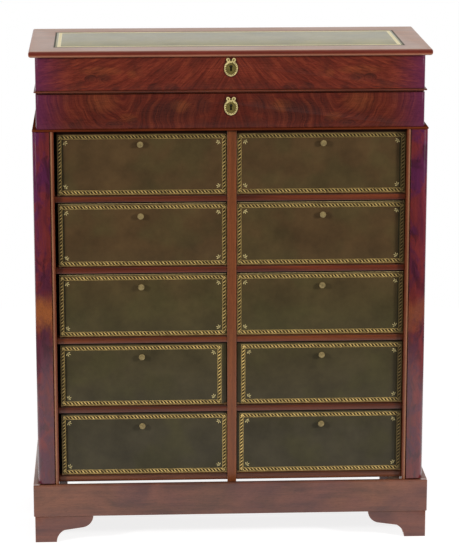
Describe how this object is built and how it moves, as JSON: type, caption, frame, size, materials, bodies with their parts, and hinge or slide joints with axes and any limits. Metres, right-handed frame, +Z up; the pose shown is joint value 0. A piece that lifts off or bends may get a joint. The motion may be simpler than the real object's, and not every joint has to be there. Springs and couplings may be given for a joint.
{
  "type": "wellington chest",
  "caption": "Tall mahogany filing chest: frieze drawers over columns of drop-front leather filing boxes between swinging stiles, on a plinth with bracket feet.",
  "frame": {"origin": "on the floor, under the middle of the top", "axes": "+Z up, +Y to the back of the chest, +X to the viewer's right; the fronts face -Y"},
  "size_m": [1.018, 0.435, 1.2781],
  "materials": {
    "mahogany": "french polished mahogany",
    "flame_mahogany": "french polished flame mahogany veneer",
    "stile_mahogany": "french polished dark mahogany veneer",
    "pale_mahogany": "worn polished mahogany edge",
    "plinth_mahogany": "faded mahogany, satin",
    "top_mahogany": "french polished mahogany",
    "carcass_wood": "plain oak, waxed",
    "top_leather": "olive leather with a gilt border",
    "box_leather": "olive brown leather, gilt tooled",
    "gilt_brass": "cast, chased and gilt",
    "knob_brass": "dull turned brass",
    "iron": "filed iron"
  },
  "bodies": {
    "carcass": {"top_board": "top_mahogany", "top_leather": "top_leather", "front_posts": "pale_mahogany", "rear_posts": "carcass_wood", "side_panels": "mahogany", "back_boards": "carcass_wood", "center_partition": "carcass_wood", "center_stile": "pale_mahogany", "shelves": "mahogany", "waist_board": "mahogany", "drawer_divider": "mahogany", "tier_sides": "mahogany", "plinth": "plinth_mahogany", "front_feet": "plinth_mahogany", "rear_feet": "plinth_mahogany", "corner_blocks": "carcass_wood", "stile_pivots": "iron"},
    "left_stile_flap": {"left_stile": "stile_mahogany"},
    "right_stile_flap": {"right_stile": "stile_mahogany"},
    "upper_drawer": {"upper_drawer_front": "flame_mahogany", "upper_drawer_box": "carcass_wood", "upper_escutcheon": "gilt_brass", "upper_lock": "iron"},
    "upper_bolt": {"upper_lock_bolt": "iron"},
    "lower_drawer": {"lower_drawer_front": "flame_mahogany", "lower_drawer_box": "carcass_wood", "lower_escutcheon": "gilt_brass", "lower_lock": "iron"},
    "lower_bolt": {"lower_lock_bolt": "iron"},
    "carton_left_1_box": {"carton_left_1_tray": "carcass_wood"},
    "carton_left_1_front": {"carton_left_1_flap": "box_leather", "carton_left_1_knob": "knob_brass"},
    "carton_left_2_box": {"carton_left_2_tray": "carcass_wood"},
    "carton_left_2_front": {"carton_left_2_flap": "box_leather", "carton_left_2_knob": "knob_brass"},
    "carton_left_3_box": {"carton_left_3_tray": "carcass_wood"},
    "carton_left_3_front": {"carton_left_3_flap": "box_leather", "carton_left_3_knob": "knob_brass"},
    "carton_left_4_box": {"carton_left_4_tray": "carcass_wood"},
    "carton_left_4_front": {"carton_left_4_flap": "box_leather", "carton_left_4_knob": "knob_brass"},
    "carton_left_5_box": {"carton_left_5_tray": "carcass_wood"},
    "carton_left_5_front": {"carton_left_5_flap": "box_leather", "carton_left_5_knob": "knob_brass"},
    "carton_right_1_box": {"carton_right_1_tray": "carcass_wood"},
    "carton_right_1_front": {"carton_right_1_flap": "box_leather", "carton_right_1_knob": "knob_brass"},
    "carton_right_2_box": {"carton_right_2_tray": "carcass_wood"},
    "carton_right_2_front": {"carton_right_2_flap": "box_leather", "carton_right_2_knob": "knob_brass"},
    "carton_right_3_box": {"carton_right_3_tray": "carcass_wood"},
    "carton_right_3_front": {"carton_right_3_flap": "box_leather", "carton_right_3_knob": "knob_brass"},
    "carton_right_4_box": {"carton_right_4_tray": "carcass_wood"},
    "carton_right_4_front": {"carton_right_4_flap": "box_leather", "carton_right_4_knob": "knob_brass"},
    "carton_right_5_box": {"carton_right_5_tray": "carcass_wood"},
    "carton_right_5_front": {"carton_right_5_flap": "box_leather", "carton_right_5_knob": "knob_brass"}
  },
  "joints": [
    {"name": "left_stile_swing", "type": "hinge", "parent": "carcass", "child": "left_stile_flap", "pos_m": [-0.488, -0.1845, 0.157], "axis": [0, 0, -1], "range_deg": [0, 100]},
    {"name": "right_stile_swing", "type": "hinge", "parent": "carcass", "child": "right_stile_flap", "pos_m": [0.488, -0.1845, 0.157], "axis": [0, 0, 1], "range_deg": [0, 100]},
    {"name": "upper_drawer_slide", "type": "slide", "parent": "carcass", "child": "upper_drawer", "axis": [0, -1, 0], "range_m": [0, 0.26]},
    {"name": "upper_bolt_throw", "type": "slide", "parent": "upper_drawer", "child": "upper_bolt", "axis": [0, 0, 1], "range_m": [0, 0.006]},
    {"name": "lower_drawer_slide", "type": "slide", "parent": "carcass", "child": "lower_drawer", "axis": [0, -1, 0], "range_m": [0, 0.26]},
    {"name": "lower_bolt_throw", "type": "slide", "parent": "lower_drawer", "child": "lower_bolt", "axis": [0, 0, 1], "range_m": [0, 0.006]},
    {"name": "carton_left_1_slide", "type": "slide", "parent": "carcass", "child": "carton_left_1_box", "axis": [0, -1, 0], "range_m": [0, 0.26]},
    {"name": "carton_left_1_drop", "type": "hinge", "parent": "carton_left_1_box", "child": "carton_left_1_front", "pos_m": [-0.22265, -0.1751, 0.91], "axis": [1, 0, 0], "range_deg": [0, 90]},
    {"name": "carton_left_2_slide", "type": "slide", "parent": "carcass", "child": "carton_left_2_box", "axis": [0, -1, 0], "range_m": [0, 0.26]},
    {"name": "carton_left_2_drop", "type": "hinge", "parent": "carton_left_2_box", "child": "carton_left_2_front", "pos_m": [-0.22265, -0.1751, 0.7265], "axis": [1, 0, 0], "range_deg": [0, 90]},
    {"name": "carton_left_3_slide", "type": "slide", "parent": "carcass", "child": "carton_left_3_box", "axis": [0, -1, 0], "range_m": [0, 0.26]},
    {"name": "carton_left_3_drop", "type": "hinge", "parent": "carton_left_3_box", "child": "carton_left_3_front", "pos_m": [-0.22265, -0.1751, 0.543], "axis": [1, 0, 0], "range_deg": [0, 90]},
    {"name": "carton_left_4_slide", "type": "slide", "parent": "carcass", "child": "carton_left_4_box", "axis": [0, -1, 0], "range_m": [0, 0.26]},
    {"name": "carton_left_4_drop", "type": "hinge", "parent": "carton_left_4_box", "child": "carton_left_4_front", "pos_m": [-0.22265, -0.1751, 0.3595], "axis": [1, 0, 0], "range_deg": [0, 90]},
    {"name": "carton_left_5_slide", "type": "slide", "parent": "carcass", "child": "carton_left_5_box", "axis": [0, -1, 0], "range_m": [0, 0.26]},
    {"name": "carton_left_5_drop", "type": "hinge", "parent": "carton_left_5_box", "child": "carton_left_5_front", "pos_m": [-0.22265, -0.1751, 0.176], "axis": [1, 0, 0], "range_deg": [0, 90]},
    {"name": "carton_right_1_slide", "type": "slide", "parent": "carcass", "child": "carton_right_1_box", "axis": [0, -1, 0], "range_m": [0, 0.26]},
    {"name": "carton_right_1_drop", "type": "hinge", "parent": "carton_right_1_box", "child": "carton_right_1_front", "pos_m": [0.22865, -0.1751, 0.91], "axis": [1, 0, 0], "range_deg": [0, 90]},
    {"name": "carton_right_2_slide", "type": "slide", "parent": "carcass", "child": "carton_right_2_box", "axis": [0, -1, 0], "range_m": [0, 0.26]},
    {"name": "carton_right_2_drop", "type": "hinge", "parent": "carton_right_2_box", "child": "carton_right_2_front", "pos_m": [0.22865, -0.1751, 0.7265], "axis": [1, 0, 0], "range_deg": [0, 90]},
    {"name": "carton_right_3_slide", "type": "slide", "parent": "carcass", "child": "carton_right_3_box", "axis": [0, -1, 0], "range_m": [0, 0.26]},
    {"name": "carton_right_3_drop", "type": "hinge", "parent": "carton_right_3_box", "child": "carton_right_3_front", "pos_m": [0.22865, -0.1751, 0.543], "axis": [1, 0, 0], "range_deg": [0, 90]},
    {"name": "carton_right_4_slide", "type": "slide", "parent": "carcass", "child": "carton_right_4_box", "axis": [0, -1, 0], "range_m": [0, 0.26]},
    {"name": "carton_right_4_drop", "type": "hinge", "parent": "carton_right_4_box", "child": "carton_right_4_front", "pos_m": [0.22865, -0.1751, 0.3595], "axis": [1, 0, 0], "range_deg": [0, 90]},
    {"name": "carton_right_5_slide", "type": "slide", "parent": "carcass", "child": "carton_right_5_box", "axis": [0, -1, 0], "range_m": [0, 0.26]},
    {"name": "carton_right_5_drop", "type": "hinge", "parent": "carton_right_5_box", "child": "carton_right_5_front", "pos_m": [0.22865, -0.1751, 0.176], "axis": [1, 0, 0], "range_deg": [0, 90]}
  ]
}
